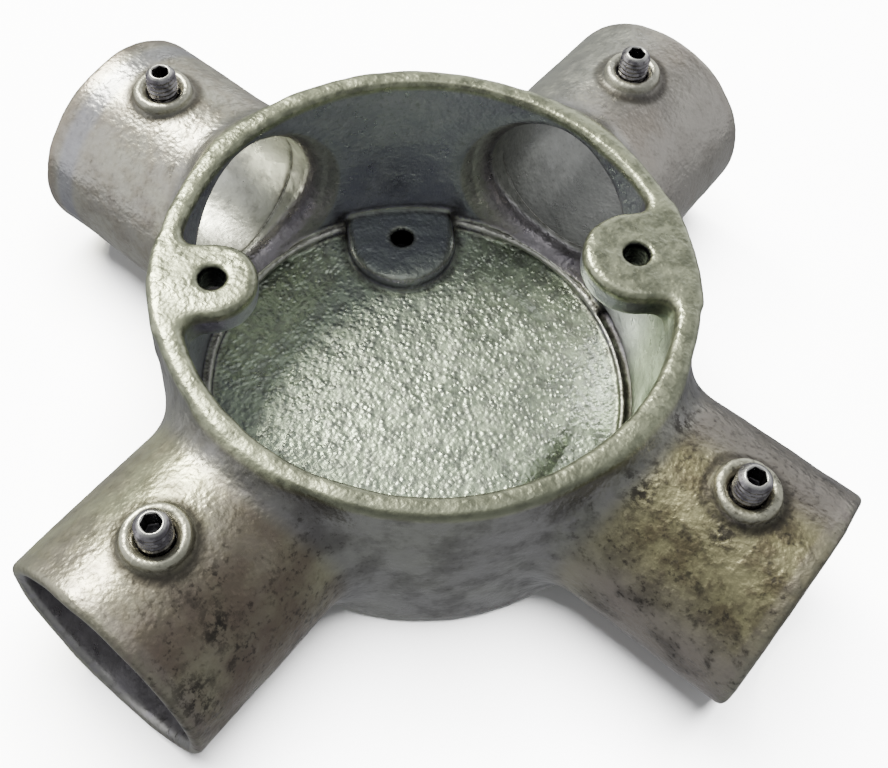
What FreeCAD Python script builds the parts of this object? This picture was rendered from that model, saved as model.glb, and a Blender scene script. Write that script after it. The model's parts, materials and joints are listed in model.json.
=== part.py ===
"""Four-way circular conduit box in galvanised malleable iron, with its grub screws.

Frame: origin at the centre of the underside, +Z up to the open rim. The four spouts
point along +X, +Y, -X and -Y. The two lid lugs lie on the diagonal at 45 and 225
degrees, and the fixing pad on the floor lies at 135 degrees. Millimetres.
"""
import FreeCAD, Part
import math
import os
import re
import Sketcher
from FreeCAD import Placement, Rotation, Vector

Z_AXIS = Vector(0, 0, 1)
BROAD_LUG, PAD, NARROW_LUG = 45, 135, 225
START, END, CENTRE = 1, 2, 3
H_AXIS, V_AXIS = -1, -2
CLOSE = 0.02          # lengths nearer than this count as equal
LEAST_CHANGE = 0.1    # a feature that changes less volume than this has failed

# alias, value, what it measures
DIMENSIONS = [
    ("body_height", 30.9, "underside to rim face"),
    ("rim_radius", 32.5, "outside of the bowl, a 65 mm box"),
    ("rim_bore_radius", 29.8, "inside of the bowl at the rim"),
    ("floor_bore_radius", 29.0, "inside of the bowl at the floor"),
    ("base_edge", 2.0, "rounding of the outer base edge"),
    ("floor_thickness", 3.4, "casting thickness under the floor"),
    ("floor_corner", 2.0, "rounding between floor and wall"),
    ("spout_reach", 55.0, "centre of the box to a spout mouth"),
    ("spout_radius", 14.4, "outside of a spout"),
    ("spout_drop", 16.3, "rim face down to the spout axis"),
    ("spout_blend", 1.8, "rounding where a spout leaves the bowl"),
    ("socket_radius", 12.6, "bore for 25 mm conduit"),
    ("socket_depth", 21.4, "mouth to the conduit stop"),
    ("port_radius", 10.9, "opening from a spout into the bowl"),
    ("port_round", 1.0, "rounding on both edges of a port, for the wires"),
    ("mouth_chamfer", 0.4, "bevel on both edges of a mouth"),
    ("boss_reach", 44.5, "centre of the box to a screw boss"),
    ("boss_radius", 3.75, "screw boss"),
    ("boss_drop", 0.5, "rim face down to the boss face"),
    ("boss_foot", 0.9, "rounding at the foot of a boss"),
    ("boss_bevel", 0.7, "countersink of the screw hole in a boss"),
    ("lug_reach", 25.4, "centre of the box to a lid screw hole"),
    ("lug_radius_broad", 6.4, "broad lug, at 45 degrees"),
    ("lug_radius_narrow", 5.3, "narrow lug, at 225 degrees"),
    ("lug_root", 31.0, "where a lug ends inside the wall"),
    ("lug_thickness", 4.5, "depth of a lug below the rim face"),
    ("lug_web", 2.5, "rounding where a lug meets the wall"),
    ("lid_hole_radius", 1.65, "core of the M4 lid thread"),
    ("pad_reach", 23.5, "centre of the box to the pad hole"),
    ("pad_radius", 7.7, "rounded front of the pad"),
    ("pad_root", 30.5, "where the pad ends inside the wall"),
    ("pad_height", 2.3, "pad face above the floor"),
    ("pad_hole_radius", 1.65, "core of the M4 fixing thread"),
    ("pad_hole_depth", 3.0, "blind depth of the pad hole"),
    ("screw_radius", 2.0, "M4 grub screw"),
    ("screw_length", 6.0, "M4 x 6 grub screw"),
    ("screw_proud", 2.35, "screw head above the rim face"),
    ("screw_chamfer", 0.35, "bevel on the screw head"),
    ("screw_fit", 0.03, "radial clearance in the thread"),
    ("key_flats", 2.0, "hexagon key size"),
    ("key_depth", 2.5, "depth of the hexagon socket"),
    ("cup_radius", 1.1, "mouth of the cup point"),
    ("cup_depth", 0.6, "depth of the cup point"),
]
# label, the spout it sits on, how far its key socket happens to be turned
SCREWS = [("grub_screw_right", 0, 10), ("grub_screw_back", 90, 35),
          ("grub_screw_left", 180, 20), ("grub_screw_front", 270, 50)]

doc = FreeCAD.newDocument("ConduitBox")
sheet = doc.addObject("Spreadsheet::Sheet", "Dimensions")


def fill_sheet():
    for row, (alias, value, meaning) in enumerate(DIMENSIONS, start=1):
        sheet.set(f"A{row}", meaning)
        sheet.set(f"B{row}", str(value))
        sheet.setAlias(f"B{row}", alias)
    doc.recompute()


def size(alias):
    return float(sheet.get(alias))


def cell(formula):
    """Turn a formula in alias names into an expression on the sheet."""
    aliases = "|".join(alias for alias, _, _ in DIMENSIONS)
    return re.sub(rf"\b({aliases})\b", r"Dimensions.\1", formula)


def new_body(label):
    body = doc.addObject("PartDesign::Body", label)
    body.Label = label
    return body


def new_sketch(body, name, role, height=None, turn=0):
    """A sketch on one of the body's own planes, lifted along its normal and turned."""
    sketch = body.newObject("Sketcher::SketchObject", name)
    plane = next(p for p in body.Origin.OriginFeatures if p.Role == role)
    sketch.AttachmentSupport = [(plane, "")]
    sketch.MapMode = "FlatFace"
    sketch.AttachmentOffset = Placement(Vector(), Rotation(Z_AXIS, turn))
    if height:
        sketch.setExpression("AttachmentOffset.Base.z", cell(height))
    return sketch


def bind(sketch, name, constraint, formula):
    """Add a named size to a sketch and tie it to the sheet."""
    index = sketch.addConstraint(constraint)
    sketch.renameConstraint(index, name)
    sketch.setExpression(f"Constraints.{name}", cell(formula))


def circle(sketch, radius, reach=None, rise=None):
    """A circle at (reach, rise) in the sketch; a missing one means on that axis."""
    rough = 1.0
    centre = Vector(size(reach) if reach else 0, rough if rise else 0, 0)
    ring = sketch.addGeometry(Part.Circle(centre, Z_AXIS, rough), False)
    bind(sketch, "radius", Sketcher.Constraint("Radius", ring, rough), radius)
    if reach:
        side = Sketcher.Constraint("DistanceX", H_AXIS, START, ring, CENTRE, centre.x)
        bind(sketch, "reach", side, reach)
    else:
        sketch.addConstraint(Sketcher.Constraint("PointOnObject", ring, CENTRE, V_AXIS))
    if rise:
        side = Sketcher.Constraint("DistanceY", H_AXIS, START, ring, CENTRE, centre.y)
        bind(sketch, "rise", side, rise)
    else:
        sketch.addConstraint(Sketcher.Constraint("PointOnObject", ring, CENTRE, H_AXIS))


def tongue(sketch, reach, radius, root):
    """A round-ended tongue along the sketch's X axis, from the wall to its hole."""
    hole, end, half = size(reach), size(root), size(radius)
    nose = Part.Circle(Vector(hole, 0, 0), Z_AXIS, half)
    corners = [Vector(hole, -half, 0), Vector(end, -half, 0),
               Vector(end, half, 0), Vector(hole, half, 0)]
    sketch.addGeometry(Part.ArcOfCircle(nose, math.pi / 2, 3 * math.pi / 2), False)
    for first, second in zip(corners, corners[1:]):
        sketch.addGeometry(Part.LineSegment(first, second), False)
    arc, lower, back, upper = range(4)
    for tie in (("Tangent", arc, END, lower, START), ("Tangent", upper, END, arc, START),
                ("Coincident", lower, END, back, START),
                ("Coincident", back, END, upper, START),
                ("Horizontal", lower), ("Vertical", back),
                ("PointOnObject", arc, CENTRE, H_AXIS)):
        sketch.addConstraint(Sketcher.Constraint(*tie))
    bind(sketch, "radius", Sketcher.Constraint("Radius", arc, half), radius)
    nose_at = Sketcher.Constraint("DistanceX", H_AXIS, START, arc, CENTRE, hole)
    bind(sketch, "reach", nose_at, reach)
    root_at = Sketcher.Constraint("DistanceX", H_AXIS, START, back, START, end)
    bind(sketch, "root", root_at, root)


def grow(body, kind, name, sketch, length, symmetric=False, reverse=False):
    """Pad or Pocket a sketch by a length from the sheet, checking that it acts."""
    before = body.Shape.Volume if body.Tip else 0.0
    feature = body.newObject(f"PartDesign::{kind}", name)
    feature.Profile = sketch
    feature.Type = "Length"
    feature.setExpression("Length", cell(length))
    feature.SideType = "Symmetric" if symmetric else "One side"
    feature.Reversed = reverse
    body.Tip = feature
    doc.recompute()
    require(abs(body.Shape.Volume - before) > LEAST_CHANGE, f"{name} changed nothing")
    return feature


def around(body, name, features, count=4, angle=360):
    """Repeat features about the vertical axis."""
    axis = next(a for a in body.Origin.OriginFeatures if a.Role == "Z_Axis")
    pattern = body.newObject("PartDesign::PolarPattern", name)
    pattern.Originals = features
    pattern.Axis = (axis, [""])
    pattern.Angle = angle
    pattern.Occurrences = count
    body.Tip = pattern
    doc.recompute()
    return pattern


def dress(body, kind, name, chosen, formula):
    """Fillet or Chamfer the edges of the present shape for which chosen(edge) holds."""
    shape = body.Shape
    edges = [f"Edge{i}" for i, edge in enumerate(shape.Edges, start=1) if chosen(edge)]
    require(edges, f"{name} found no edge")
    base = body.Tip
    feature = body.newObject(f"PartDesign::{kind}", name)
    feature.Base = (base, edges)
    body.Tip = feature
    if kind == "Fillet":
        feature.setExpression("Radius", cell(formula))
    else:
        feature.setExpression("Size", cell(formula))
    doc.recompute()
    return feature


def require(condition, message):
    if not condition:
        raise RuntimeError(message)


def is_round(edge):
    return isinstance(edge.Curve, Part.Circle)


def radius_of(edge):
    """Distance of an edge's ends and middle from the vertical axis, lowest to highest."""
    samples = [edge.valueAt(p) for p in (edge.FirstParameter, edge.LastParameter)]
    samples.append(edge.valueAt((edge.FirstParameter + edge.LastParameter) / 2))
    reaches = [math.hypot(p.x, p.y) for p in samples]
    return min(reaches), max(reaches)


def cup(body, kind, name, low, high, corner, floor=None):
    """Revolve or groove a cup: a floor, a round corner and a wall up to the rim face."""
    bottom, height = size(floor) if floor else 0.0, size("body_height")
    bend = size(corner)
    sketch = new_sketch(body, f"{name}Profile", "XZ_Plane")
    top, heel = Vector(0, height, 0), Vector(0, bottom, 0)
    toe = Vector(size(low) - bend, bottom, 0)
    foot, lip = toe + Vector(bend, bend, 0), Vector(size(high), height, 0)
    arc_on = Part.Circle(toe + Vector(0, bend, 0), Z_AXIS, bend)
    sketch.addGeometry([Part.LineSegment(top, heel), Part.LineSegment(heel, toe),
                        Part.ArcOfCircle(arc_on, 3 * math.pi / 2, 2 * math.pi),
                        Part.LineSegment(foot, lip), Part.LineSegment(lip, top)], False)
    axis, base, arc, wall, rim = range(5)
    for tie in (("Coincident", axis, END, base, START), ("Tangent", base, END, arc, START),
                ("Coincident", arc, END, wall, START), ("Coincident", wall, END, rim, START),
                ("Coincident", rim, END, axis, START), ("Vertical", axis),
                ("Horizontal", base), ("Horizontal", rim),
                ("Horizontal", arc, CENTRE, arc, END),
                ("PointOnObject", axis, START, V_AXIS)):
        sketch.addConstraint(Sketcher.Constraint(*tie))
    bind(sketch, "corner", Sketcher.Constraint("Radius", arc, bend), corner)
    foot_at = Sketcher.Constraint("DistanceX", H_AXIS, START, wall, START, foot.x)
    bind(sketch, "low", foot_at, low)
    lip_at = Sketcher.Constraint("DistanceX", H_AXIS, START, wall, END, lip.x)
    bind(sketch, "high", lip_at, high)
    top_at = Sketcher.Constraint("DistanceY", H_AXIS, START, wall, END, height)
    bind(sketch, "height", top_at, "body_height")
    if floor:
        floor_at = Sketcher.Constraint("DistanceY", H_AXIS, START, axis, END, bottom)
        bind(sketch, "floor", floor_at, floor)
    else:
        sketch.addConstraint(Sketcher.Constraint("PointOnObject", axis, END, H_AXIS))
    before = body.Shape.Volume if body.Tip else 0.0
    feature = body.newObject(f"PartDesign::{kind}", name)
    feature.Profile = sketch
    feature.ReferenceAxis = (sketch, ["V_Axis"])
    feature.Angle = 360
    body.Tip = feature
    doc.recompute()
    require(abs(body.Shape.Volume - before) > LEAST_CHANGE, f"{name} changed nothing")


def hexagon(sketch, corner_radius):
    """A regular hexagon about the sketch's origin."""
    reach = size("key_flats") / math.sqrt(3)
    spots = [Vector(reach, 0, 0), *(Rotation(Z_AXIS, 60 * i) * Vector(reach, 0, 0)
                                    for i in range(1, 6))]
    for first, second in zip(spots, spots[1:] + spots[:1]):
        sketch.addGeometry(Part.LineSegment(first, second), False)
    ring = sketch.addGeometry(Part.Circle(Vector(), Z_AXIS, reach), True)
    sketch.addConstraint(Sketcher.Constraint("Coincident", ring, CENTRE, H_AXIS, START))
    sketch.addConstraint(Sketcher.Constraint("PointOnObject", 0, START, H_AXIS))
    for side in range(6):
        following = (side + 1) % 6
        join = Sketcher.Constraint("Coincident", side, END, following, START)
        sketch.addConstraint(join)
        sketch.addConstraint(Sketcher.Constraint("PointOnObject", side, START, ring))
        if side:
            sketch.addConstraint(Sketcher.Constraint("Equal", 0, side))
    bind(sketch, "corner", Sketcher.Constraint("Radius", ring, reach), corner_radius)


def spouts(body):
    """Two tubes crossing at the centre, solid for now, blended into the drum."""
    for name, role in (("SpoutsAlongX", "YZ_Plane"), ("SpoutsAlongY", "XZ_Plane")):
        sketch = new_sketch(body, f"{name}Circle", role)
        circle(sketch, "spout_radius", rise="body_height - spout_drop")
        grow(body, "Pad", name, sketch, "spout_reach * 2", symmetric=True)
    wall = size("rim_radius")
    flat = wall - size("base_edge")

    def at_root(edge):
        low, high = radius_of(edge)
        return not is_round(edge) and low > flat and high < wall + CLOSE

    dress(body, "Fillet", "SpoutBlend", at_root, "spout_blend")


def bosses(body):
    """A round boss on the crown of each spout, for its grub screw."""
    sketch = new_sketch(body, "BossCircle", "XY_Plane", "body_height - spout_drop")
    circle(sketch, "boss_radius", reach="boss_reach")
    boss = grow(body, "Pad", "Boss", sketch, "spout_drop - boss_drop")
    around(body, "Bosses", [boss])
    inner = size("boss_reach") - size("boss_radius")
    outer = size("boss_reach") + size("boss_radius")

    def at_foot(edge):
        low, high = radius_of(edge)
        return not is_round(edge) and low > inner - CLOSE and high < outer + CLOSE

    dress(body, "Fillet", "BossFoot", at_foot, "boss_foot")


def bores(body):
    """The ports into the bowl, and the wider sockets that the conduit slides into."""
    for name, role in (("PortsAlongX", "YZ_Plane"), ("PortsAlongY", "XZ_Plane")):
        sketch = new_sketch(body, f"{name}Circle", role)
        circle(sketch, "port_radius", rise="body_height - spout_drop")
        grow(body, "Pocket", name, sketch, "spout_reach * 2", symmetric=True)
    sketch = new_sketch(body, "SocketCircle", "YZ_Plane", "spout_reach - socket_depth")
    circle(sketch, "socket_radius", rise="body_height - spout_drop")
    socket = grow(body, "Pocket", "Socket", sketch, "socket_depth", reverse=True)
    around(body, "Sockets", [socket])
    flat = size("floor_bore_radius") - size("floor_corner")
    crown = size("body_height") - size("spout_drop") + size("port_radius")

    def at_port(edge):
        low, high = radius_of(edge)
        if is_round(edge):
            return abs(edge.Curve.Radius - size("port_radius")) < CLOSE
        inside = flat < low and high < size("rim_bore_radius") + CLOSE
        return inside and edge.BoundBox.ZMax < crown + CLOSE

    dress(body, "Fillet", "PortRounds", at_port, "port_round")


def lugs(body):
    """Two lugs under the rim, level with it, with the M4 holes for the lid screws."""
    for name, diagonal, radius in (("BroadLug", BROAD_LUG, "lug_radius_broad"),
                                   ("NarrowLug", NARROW_LUG, "lug_radius_narrow")):
        sketch = new_sketch(body, f"{name}Outline", "XY_Plane",
                            "body_height - lug_thickness", diagonal)
        tongue(sketch, "lug_reach", radius, "lug_root")
        grow(body, "Pad", name, sketch, "lug_thickness")
    thickness = size("lug_thickness")

    def at_wall(edge):
        low, high = radius_of(edge)
        box = edge.BoundBox
        on_wall = low > size("floor_bore_radius") and high < size("rim_bore_radius") + CLOSE
        return on_wall and abs(box.ZLength - thickness) < CLOSE

    dress(body, "Fillet", "LugWebs", at_wall, "lug_web")
    for name, diagonal in (("BroadLugHole", BROAD_LUG), ("NarrowLugHole", NARROW_LUG)):
        sketch = new_sketch(body, f"{name}Circle", "XY_Plane", "body_height", diagonal)
        circle(sketch, "lid_hole_radius", reach="lug_reach")
        grow(body, "Pocket", name, sketch, "lug_thickness")


def pad(body):
    """The fixing pad on the floor, round in front, with a blind hole."""
    sketch = new_sketch(body, "PadOutline", "XY_Plane", "floor_thickness", PAD)
    tongue(sketch, "pad_reach", "pad_radius", "pad_root")
    grow(body, "Pad", "Pad", sketch, "pad_height")
    sketch = new_sketch(body, "PadHoleCircle", "XY_Plane",
                        "floor_thickness + pad_height", PAD)
    circle(sketch, "pad_hole_radius", reach="pad_reach")
    grow(body, "Pocket", "PadHole", sketch, "pad_hole_depth")


def screw_holes(body):
    """The M4 hole down through each boss into its socket."""
    sketch = new_sketch(body, "ScrewHoleCircle", "XY_Plane", "body_height - boss_drop")
    circle(sketch, "screw_radius + screw_fit", reach="boss_reach")
    hole = grow(body, "Pocket", "ScrewHole", sketch, "spout_drop - boss_drop")
    around(body, "ScrewHoles", [hole])
    face = size("body_height") - size("boss_drop")
    bore = size("screw_radius") + size("screw_fit")

    def at_top(edge):
        level = is_round(edge) and abs(edge.BoundBox.Center.z - face) < CLOSE
        return level and abs(edge.Curve.Radius - bore) < CLOSE

    dress(body, "Chamfer", "Countersinks", at_top, "boss_bevel")


def mouths(body):
    """Both edges of each spout's mouth, bevelled."""
    mouth = size("spout_reach")

    def at_mouth(edge):
        box = edge.BoundBox
        flat = min(box.XLength, box.YLength) < CLOSE
        far = max(abs(box.Center.x), abs(box.Center.y))
        return flat and abs(far - mouth) < CLOSE

    dress(body, "Chamfer", "MouthBevels", at_mouth, "mouth_chamfer")


def body_casting():
    body = new_body("body_casting")
    cup(body, "Revolution", "Drum", "rim_radius", "rim_radius", "base_edge")
    spouts(body)
    bosses(body)
    cup(body, "Groove", "Hollow", "floor_bore_radius", "rim_bore_radius",
        "floor_corner", floor="floor_thickness")
    bores(body)
    lugs(body)
    pad(body)
    screw_holes(body)
    mouths(body)
    return body


def grub_screw(label, spout, key_turn):
    """An M4 x 6 grub screw with a hexagon socket and a cup point, its tip at its origin."""
    body = new_body(label)
    sketch = new_sketch(body, "ShankCircle", "XY_Plane")
    circle(sketch, "screw_radius")
    grow(body, "Pad", "Shank", sketch, "screw_length")
    dress(body, "Chamfer", "Ends", is_round, "screw_chamfer")
    sketch = new_sketch(body, "KeyOutline", "XY_Plane", "screw_length", key_turn)
    hexagon(sketch, "key_flats / sqrt(3)")
    grow(body, "Pocket", "KeySocket", sketch, "key_depth")
    cup_point = body.newObject("PartDesign::SubtractiveCone", "CupPoint")
    plane = next(p for p in body.Origin.OriginFeatures if p.Role == "XY_Plane")
    cup_point.AttachmentSupport = [(plane, "")]
    cup_point.MapMode = "FlatFace"
    cup_point.setExpression("Radius1", cell("cup_radius"))
    cup_point.Radius2 = 0
    cup_point.setExpression("Height", cell("cup_depth"))
    body.setExpression("Placement.Base.x", cell(f"boss_reach * cos({spout})"))
    body.setExpression("Placement.Base.y", cell(f"boss_reach * sin({spout})"))
    height = "body_height + screw_proud - screw_length"
    body.setExpression("Placement.Base.z", cell(height))
    doc.recompute()
    return body


def check(bodies):
    for item in doc.Objects:
        failed = {"Invalid", "Error"} & set(item.State)
        require(not failed, f"{item.Name} is {item.State}")
    for body in bodies:
        shape = body.Shape
        require(not shape.isNull() and shape.isValid(), f"{body.Label} is not valid")
        require(len(shape.Solids) == 1, f"{body.Label} is not one solid")


def write(bodies):
    os.makedirs("parts", exist_ok=True)
    for body in bodies:
        body.Shape.exportStep(f"parts/{body.Label}.step")
        box = body.Shape.BoundBox
        print(f"{body.Label}: {body.Shape.Volume:.0f} mm3, {box.ZMin:.2f} to {box.ZMax:.2f}")


fill_sheet()
pieces = [body_casting()] + [grub_screw(*screw) for screw in SCREWS]
check(pieces)
write(pieces)
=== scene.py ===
"""Looks for the four-way conduit box: a sculpted casting and four threaded grub screws.

The casting is made as a distance field in millimetres, meshed, and given its cast
surface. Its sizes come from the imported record, and the rest are named below.
"""
import bpy
import json
import math
import numpy as np
from mathutils import Matrix, Vector


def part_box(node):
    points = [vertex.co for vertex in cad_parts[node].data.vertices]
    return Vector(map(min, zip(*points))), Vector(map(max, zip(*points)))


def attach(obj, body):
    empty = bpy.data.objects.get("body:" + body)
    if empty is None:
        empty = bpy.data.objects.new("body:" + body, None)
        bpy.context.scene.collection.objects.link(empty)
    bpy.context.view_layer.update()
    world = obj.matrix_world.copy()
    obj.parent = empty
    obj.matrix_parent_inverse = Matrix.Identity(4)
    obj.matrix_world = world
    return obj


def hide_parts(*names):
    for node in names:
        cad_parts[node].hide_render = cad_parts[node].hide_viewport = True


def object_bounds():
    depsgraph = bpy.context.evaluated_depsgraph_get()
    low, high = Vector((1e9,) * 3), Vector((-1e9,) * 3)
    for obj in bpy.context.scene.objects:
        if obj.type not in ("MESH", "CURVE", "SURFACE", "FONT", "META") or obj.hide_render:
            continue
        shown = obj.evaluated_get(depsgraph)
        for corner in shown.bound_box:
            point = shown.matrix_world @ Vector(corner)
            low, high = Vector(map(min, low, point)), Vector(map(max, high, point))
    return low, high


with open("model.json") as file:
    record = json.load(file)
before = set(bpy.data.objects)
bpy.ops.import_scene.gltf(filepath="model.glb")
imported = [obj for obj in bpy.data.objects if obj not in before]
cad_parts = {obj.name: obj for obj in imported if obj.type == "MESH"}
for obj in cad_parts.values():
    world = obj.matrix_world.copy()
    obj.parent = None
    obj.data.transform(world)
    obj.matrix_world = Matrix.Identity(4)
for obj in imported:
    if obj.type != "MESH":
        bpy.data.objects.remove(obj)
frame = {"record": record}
cad_low, cad_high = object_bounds()

MM = 0.001
MOUNTS = {mount["name"]: mount for mount in frame["record"]["mounts"]}

# Sizes from the record, in millimetres
RIM_Z = MOUNTS["lid_screws"]["pos_m"][2] / MM
LUG_REACH = MOUNTS["lid_screws"]["dims"]["pcd_mm"] / 2
LID_HOLE_R = MOUNTS["lid_screws"]["dims"]["hole_r_mm"]
SOCKET_R = MOUNTS["conduit_socket_right"]["dims"]["r_mm"]
AXIS_Z = MOUNTS["conduit_socket_right"]["pos_m"][2] / MM
MOUTH = cad_high.x / MM
PAD_HOLE_R = MOUNTS["floor_screw"]["dims"]["r_mm"]
PAD_REACH = math.hypot(*MOUNTS["floor_screw"]["pos_m"][:2]) / MM
BOSS_REACH = sum(corner.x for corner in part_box("grub_screw_right")) / 2 / MM

# The casting's other sizes, in millimetres
RIM_R, BORE_TOP, BORE_LOW = 32.5, 29.8, 29.0
BULGE = 0.5
FLOOR_Z, PAD_Z = 3.4, 5.7
SPOUT_R = 14.4
SPOUT_TURNS = range(0, 360, 90)
PORT_R, PORT_LIFT, PORT_REACH = 11.6, 1.2, 10.0
LIP, STOP, PORT_OVERLAP = 32.4, 33.6, 0.5
BELL_LENGTH, BELL_FLARE = 4.6, 1.0
BOSS_R, BOSS_Z = 3.75, 30.4
COUNTERSINK, COUNTERSINK_DEPTH = 0.75, 1.1
SCREW_HOLE_R = 2.06
BROAD_LUG, NARROW_LUG, LUG_Z = 6.4, 5.3, 26.4
LUG_TURNS = {45: BROAD_LUG, 225: NARROW_LUG}
LUG_END, PAD_END = 31.5, 31.0
LID_HOLE_CHAMFER, LID_HOLE_LOW = 0.4, 20.0
PAD_TURN, PAD_R, PAD_HOLE_LOW = 135, 7.7, 2.2
BEAD_R, BEAD_Z, BEAD_THICK = 28.3, 3.9, 0.5
GROOVE_R, GROOVE_Z, GROOVE_THICK, GROOVE_TURN = 29.1, 4.2, 0.85, 19
GROOVE_TAPER = 0.12
GRID = 0.4

# How far the blends between the casting's shapes reach, in millimetres
BASE_ROUND, MOUTH_ROUND, SPOUT_BLEND = 2.3, 0.9, 4.0
BOSS_ROUND, BOSS_BLEND = 1.0, 0.8
FLOOR_ROUND, PORT_FLOOR_ROUND, PORT_BLEND = 1.6, 0.8, 3.4
SOCKET_ROUND, HOLLOW_ROUND = 0.5, 0.9
BEAD_BLEND, GROOVE_BLEND = 0.7, 0.4
LUG_ROUND, LUG_BLEND, PAD_ROUND, PAD_BLEND, RIM_ROUND = 1.6, 3.0, 1.0, 0.9, 1.0
SCREW_HOLE_ROUND, HOLE_ROUND = 0.5, 0.3

# Holes whose walls are painted black as shade: turn, reach, radius and the height where the painted
# shade begins
SHADED_HOLES = [(turn, LUG_REACH, LID_HOLE_R, LUG_Z) for turn in LUG_TURNS]
SHADED_HOLES += [(PAD_TURN, PAD_REACH, PAD_HOLE_R, 2.0)]
# A side's stain starts this much further out for each millimetre across the side
SIDE_SPREAD = 0.35
# How far out the masks of the sockets and of the ports begin
SOCKET_START, PORT_START = 30, 20
# How far the surface is probed for its creases and for its ridges
CREASE_REACH, RIDGE_REACH = 1.6, 0.8
# Dark speckled patches on two spouts: x, y and radius
SCABS = ((35.5, -6.5, 4.2), (45.0, -5.5, 3.4), (10.0, -46.0, 3.6), (12.5, -52.5, 4.0),
         (34.5, 3.0, 3.0))

# The M4 grub screw, in millimetres, with its slopes in millimetres per millimetre
THREAD_PITCH, THREAD_DEPTH = 0.7, 0.2
THREAD_SHARP, THREAD_FLAT = 1.25, 0.1
TOP_R, TOP_SLOPE, POINT_R, POINT_SLOPE = 1.15, 1.15, 1.35, 1.1
KEY_FLATS, KEY_DEPTH, KEY_CHAMFER, KEY_SLOPE = 2.0, 2.5, 0.32, 1.1
KEY_FACES = np.radians((30, 90, 150))
CUP_R, CUP_SLOPE = 1.1, 1.6
KEY_TURNS = {"right": 10, "back": 35, "left": 20, "front": 50}
TAPER_ROUND, END_ROUND, KEY_ROUND, RECESS_ROUND, CUP_ROUND = 0.15, 0.22, 0.2, 0.1, 0.12
# A sloped side's field grows too fast, so it is scaled down towards a true distance
THREAD_SCALE, TAPER_SCALE, MOUTH_SCALE, CUP_SCALE = 0.8, 0.7, 0.75, 0.8
SCREW_GRID = 0.08

# Unevenness of the cast surface: height and width in millimetres, and a random seed
LUMPS = ((0.17, 9.0, 1), (0.09, 4.3, 2))
PEEL = ((0.035, 2.1, 3), (0.02, 1.1, 4))
GRAIN = ((0.04, 1.3, 5),)
RIPPLE = ((0.07, 3.1, 6),)
# The share of the unevenness that the bowl's floor and the sockets lose
FLOOR_CALM, SOCKET_CALM = 0.8, 0.85
# The share of the grain that is everywhere, on the floor and on the rim
GRAIN_SHARE, FLOOR_GRAIN, RIM_GRAIN = 0.25, 0.75, 0.4
# The random table's size, and an offset that keeps every place in it positive
LATTICE, LATTICE_OFFSET = 32, 1000.5
SLOPE_STEP = 0.15

# More than any distance on the part, in millimetres
FAR = 99.0


# ---------------------------------------------------------------- distance fields
def smooth_min(a, b, k):
    """Union of two fields with a blend that begins k before they meet."""
    share = np.clip(0.5 + 0.5 * (b - a) / k, 0, 1)
    return b + (a - b) * share - k * share * (1 - share)


def smooth_max(a, b, k):
    return -smooth_min(-a, -b, k)


def spun(x, y, degrees):
    """Coordinates along and across a direction in the XY plane."""
    c, s = math.cos(math.radians(degrees)), math.sin(math.radians(degrees))
    return x * c + y * s, y * c - x * s


def tongue(x, y, turn, reach, radius):
    """A round-nosed tongue that runs outward from its hole."""
    along, across = spun(x, y, turn)
    return np.hypot(np.minimum(along - reach, 0), across) - radius


def port_field(from_axis, along):
    """The opening from a spout into the bowl, flared like a bell towards the bowl."""
    into = np.clip((LIP - along) / BELL_LENGTH, 0, 1)
    flare = BELL_FLARE * (1 - np.sqrt(1 - into * into))
    ends = np.maximum(LIP - PORT_REACH - along, along - STOP - PORT_OVERLAP)
    return np.maximum(from_axis - PORT_R - flare, ends)


def solid_body(x, y, z):
    """The bowl, the four spouts and their bosses, before they are hollowed."""
    high = z - AXIS_Z
    waist = RIM_R + BULGE * np.clip(1 - (high / AXIS_Z) ** 2, 0, 1)
    bowl = smooth_max(np.hypot(x, y) - waist, -z, BASE_ROUND)
    spouts = np.minimum(
        smooth_max(np.hypot(y, high) - SPOUT_R, np.abs(x) - MOUTH, MOUTH_ROUND),
        smooth_max(np.hypot(x, high) - SPOUT_R, np.abs(y) - MOUTH, MOUTH_ROUND))
    body = smooth_min(bowl, spouts, SPOUT_BLEND)
    for turn in SPOUT_TURNS:
        along, across = spun(x, y, turn)
        boss = np.hypot(along - BOSS_REACH, across) - BOSS_R
        boss = smooth_max(boss, z - BOSS_Z, BOSS_ROUND)
        body = smooth_min(body, np.maximum(boss, -high), BOSS_BLEND)
    return body


def hollow(x, y, z):
    """The space inside: the bowl, the four ports and the four sockets."""
    high = z - AXIS_Z
    taper = BORE_LOW + (BORE_TOP - BORE_LOW) * (z - FLOOR_Z) / (RIM_Z - FLOOR_Z)
    bowl = smooth_max(np.hypot(x, y) - taper, FLOOR_Z - z, FLOOR_ROUND)
    raised = high - PORT_LIFT
    ports = np.minimum(port_field(np.hypot(y, raised), np.abs(x)),
                       port_field(np.hypot(x, raised), np.abs(y)))
    ports = smooth_max(ports, FLOOR_Z - z, PORT_FLOOR_ROUND)
    sockets = np.minimum(
        smooth_max(np.hypot(y, high) - SOCKET_R, STOP - np.abs(x), SOCKET_ROUND),
        smooth_max(np.hypot(x, high) - SOCKET_R, STOP - np.abs(y), SOCKET_ROUND))
    return smooth_min(smooth_min(bowl, ports, PORT_BLEND), sockets, SOCKET_ROUND)


def add_floor_line(metal, x, y, z):
    """The raised line around the floor, and the groove beside it on one side."""
    r = np.hypot(x, y)
    bead = np.hypot(r - BEAD_R, z - BEAD_Z) - BEAD_THICK
    metal = smooth_min(metal, bead, BEAD_BLEND)
    along, across = spun(x, y, GROOVE_TURN)
    groove = np.hypot(r - GROOVE_R, z - GROOVE_Z) - GROOVE_THICK
    groove = np.maximum(groove, GROOVE_TAPER * (np.abs(across) - along))
    return smooth_max(metal, -groove, GROOVE_BLEND)


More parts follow.
